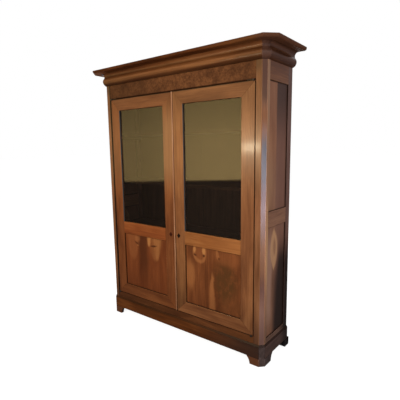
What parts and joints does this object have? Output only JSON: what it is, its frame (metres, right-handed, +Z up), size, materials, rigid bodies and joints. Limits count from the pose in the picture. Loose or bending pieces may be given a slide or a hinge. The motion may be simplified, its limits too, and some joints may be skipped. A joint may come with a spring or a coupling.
{
  "type": "glazed bookcase",
  "caption": "Free-standing walnut bookcase with a moulded cornice, canted corner posts, hinged doors glazed above and panelled below, inner shelves and a plinth on bracket feet.",
  "frame": {"origin": "on the floor, under the middle of the whole bookcase's width and depth", "axes": "+X to the right seen from the front, +Y from the front to the back, +Z up"},
  "size_m": [1.766, 0.514, 2.2],
  "materials": {
    "walnut": "French polished walnut",
    "walnut_side": "French polished walnut, darker",
    "walnut_moulding": "polished walnut moulding",
    "dark_walnut": "dark polished walnut",
    "burr_walnut": "polished burr walnut",
    "walnut_panel": "polished figured walnut",
    "inside_wood": "plain stained wood, matt",
    "black_wood": "blackened wood, matt",
    "ebony": "ebonised, polished",
    "red_wood": "reddish wood, polished",
    "steel": "dull, old",
    "glass": "clear, old"
  },
  "bodies": {
    "carcass": {"back_boards": "inside_wood", "bottom_board": "inside_wood", "cornice_cap": "walnut_moulding", "cornice_front": "walnut_moulding", "frame_pivot_plates": "steel", "frieze_board": "burr_walnut", "front_bottom_rail": "walnut", "left_cornice_corner": "walnut_moulding", "left_cornice_side": "walnut_moulding", "left_front_foot": "dark_walnut", "left_front_post": "walnut", "left_plinth_side": "dark_walnut", "left_rear_stile": "walnut_side", "left_side_bottom_rail": "walnut_side", "left_side_lower_panel": "walnut_panel", "left_side_middle_rail": "walnut_side", "left_side_top_rail": "walnut_side", "left_side_upper_panel": "walnut_panel", "middle_shelf": "inside_wood", "plinth_front": "dark_walnut", "rear_feet": "black_wood", "right_cornice_corner": "walnut_moulding", "right_cornice_side": "walnut_moulding", "right_front_foot": "dark_walnut", "right_front_post": "walnut", "right_plinth_side": "dark_walnut", "right_rear_stile": "walnut_side", "right_side_bottom_rail": "walnut_side", "right_side_lower_panel": "walnut_panel", "right_side_middle_rail": "walnut_side", "right_side_top_rail": "walnut_side", "right_side_upper_panel": "walnut_panel", "shelf_cleats": "inside_wood", "top_board": "inside_wood", "top_shelf": "inside_wood", "upper_shelf": "inside_wood"},
    "left_door": {"left_door_bottom_rail": "walnut", "left_door_glass": "glass", "left_door_middle_rail": "walnut", "left_door_panel": "walnut_panel", "left_door_pivot_plates": "steel", "left_door_top_rail": "walnut", "left_escutcheon": "red_wood", "left_glazing_beads": "walnut", "left_hinge_stile": "walnut", "left_meeting_stile": "walnut", "meeting_bead": "walnut"},
    "right_door": {"lock_case": "steel", "right_door_bottom_rail": "walnut", "right_door_glass": "glass", "right_door_middle_rail": "walnut", "right_door_panel": "walnut_panel", "right_door_pivot_plates": "steel", "right_door_top_rail": "walnut", "right_escutcheon": "ebony", "right_glazing_beads": "walnut", "right_hinge_stile": "walnut", "right_meeting_stile": "walnut"},
    "door_bolt": {"door_bolt": "steel"},
    "lock_bolt": {"lock_bolt": "steel"}
  },
  "joints": [
    {"name": "right_door_hinge", "type": "hinge", "parent": "carcass", "child": "right_door", "pos_m": [0.697, -0.163, 0.212], "axis": [0, 0, 1], "range_deg": [0, 110]},
    {"name": "left_door_hinge", "type": "hinge", "parent": "carcass", "child": "left_door", "pos_m": [-0.697, -0.163, 0.212], "axis": [0, 0, -1], "range_deg": [0, 110]},
    {"name": "lock_bolt_slide", "type": "slide", "parent": "right_door", "child": "lock_bolt", "axis": [-1, 0, 0], "range_m": [0, 0.01]},
    {"name": "door_bolt_slide", "type": "slide", "parent": "left_door", "child": "door_bolt", "axis": [0, 0, 1], "range_m": [0, 0.015]}
  ]
}
